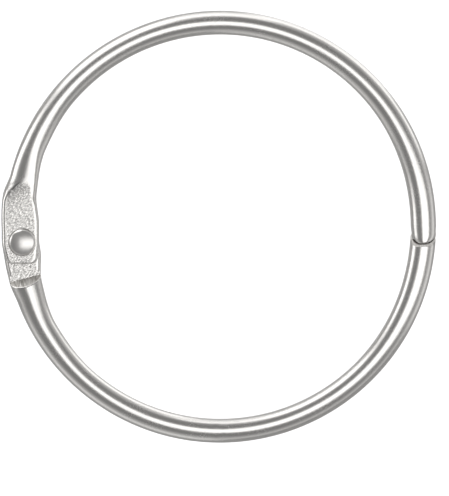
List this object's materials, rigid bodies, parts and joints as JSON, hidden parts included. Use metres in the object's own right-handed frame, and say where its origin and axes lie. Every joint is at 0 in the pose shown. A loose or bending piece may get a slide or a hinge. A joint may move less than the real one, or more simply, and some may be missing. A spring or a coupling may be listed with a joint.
{
  "type": "binder ring",
  "caption": "Round binder ring of plated steel wire, in two halves that turn on a rivet and close with a hooked lap to hold punched sheets.",
  "frame": {"origin": "centre of the closed ring, half way through the wire", "axes": "+Z along the ring's axis towards the domed rivet head, +X from the hinge towards the snap lap, +Y towards the upper half"},
  "size_m": [0.0576, 0.0572, 0.0045],
  "materials": {
    "upper_half": "smooth satin nickel plating, with a fine pebbled grain on the pressed leaf",
    "lower_half": "smooth satin nickel plating, with a fine pebbled grain on the pressed leaf",
    "hinge_rivet": "smooth satin nickel plating"
  },
  "bodies": {
    "lower": {"lower_half": "lower_half", "hinge_rivet": "hinge_rivet"},
    "upper": {"upper_half": "upper_half"}
  },
  "joints": [
    {"name": "hinge", "type": "hinge", "parent": "lower", "child": "upper", "pos_m": [-0.02621, -0.00205, 0], "axis": [0, 0, 1], "range_deg": [0, 136]}
  ]
}
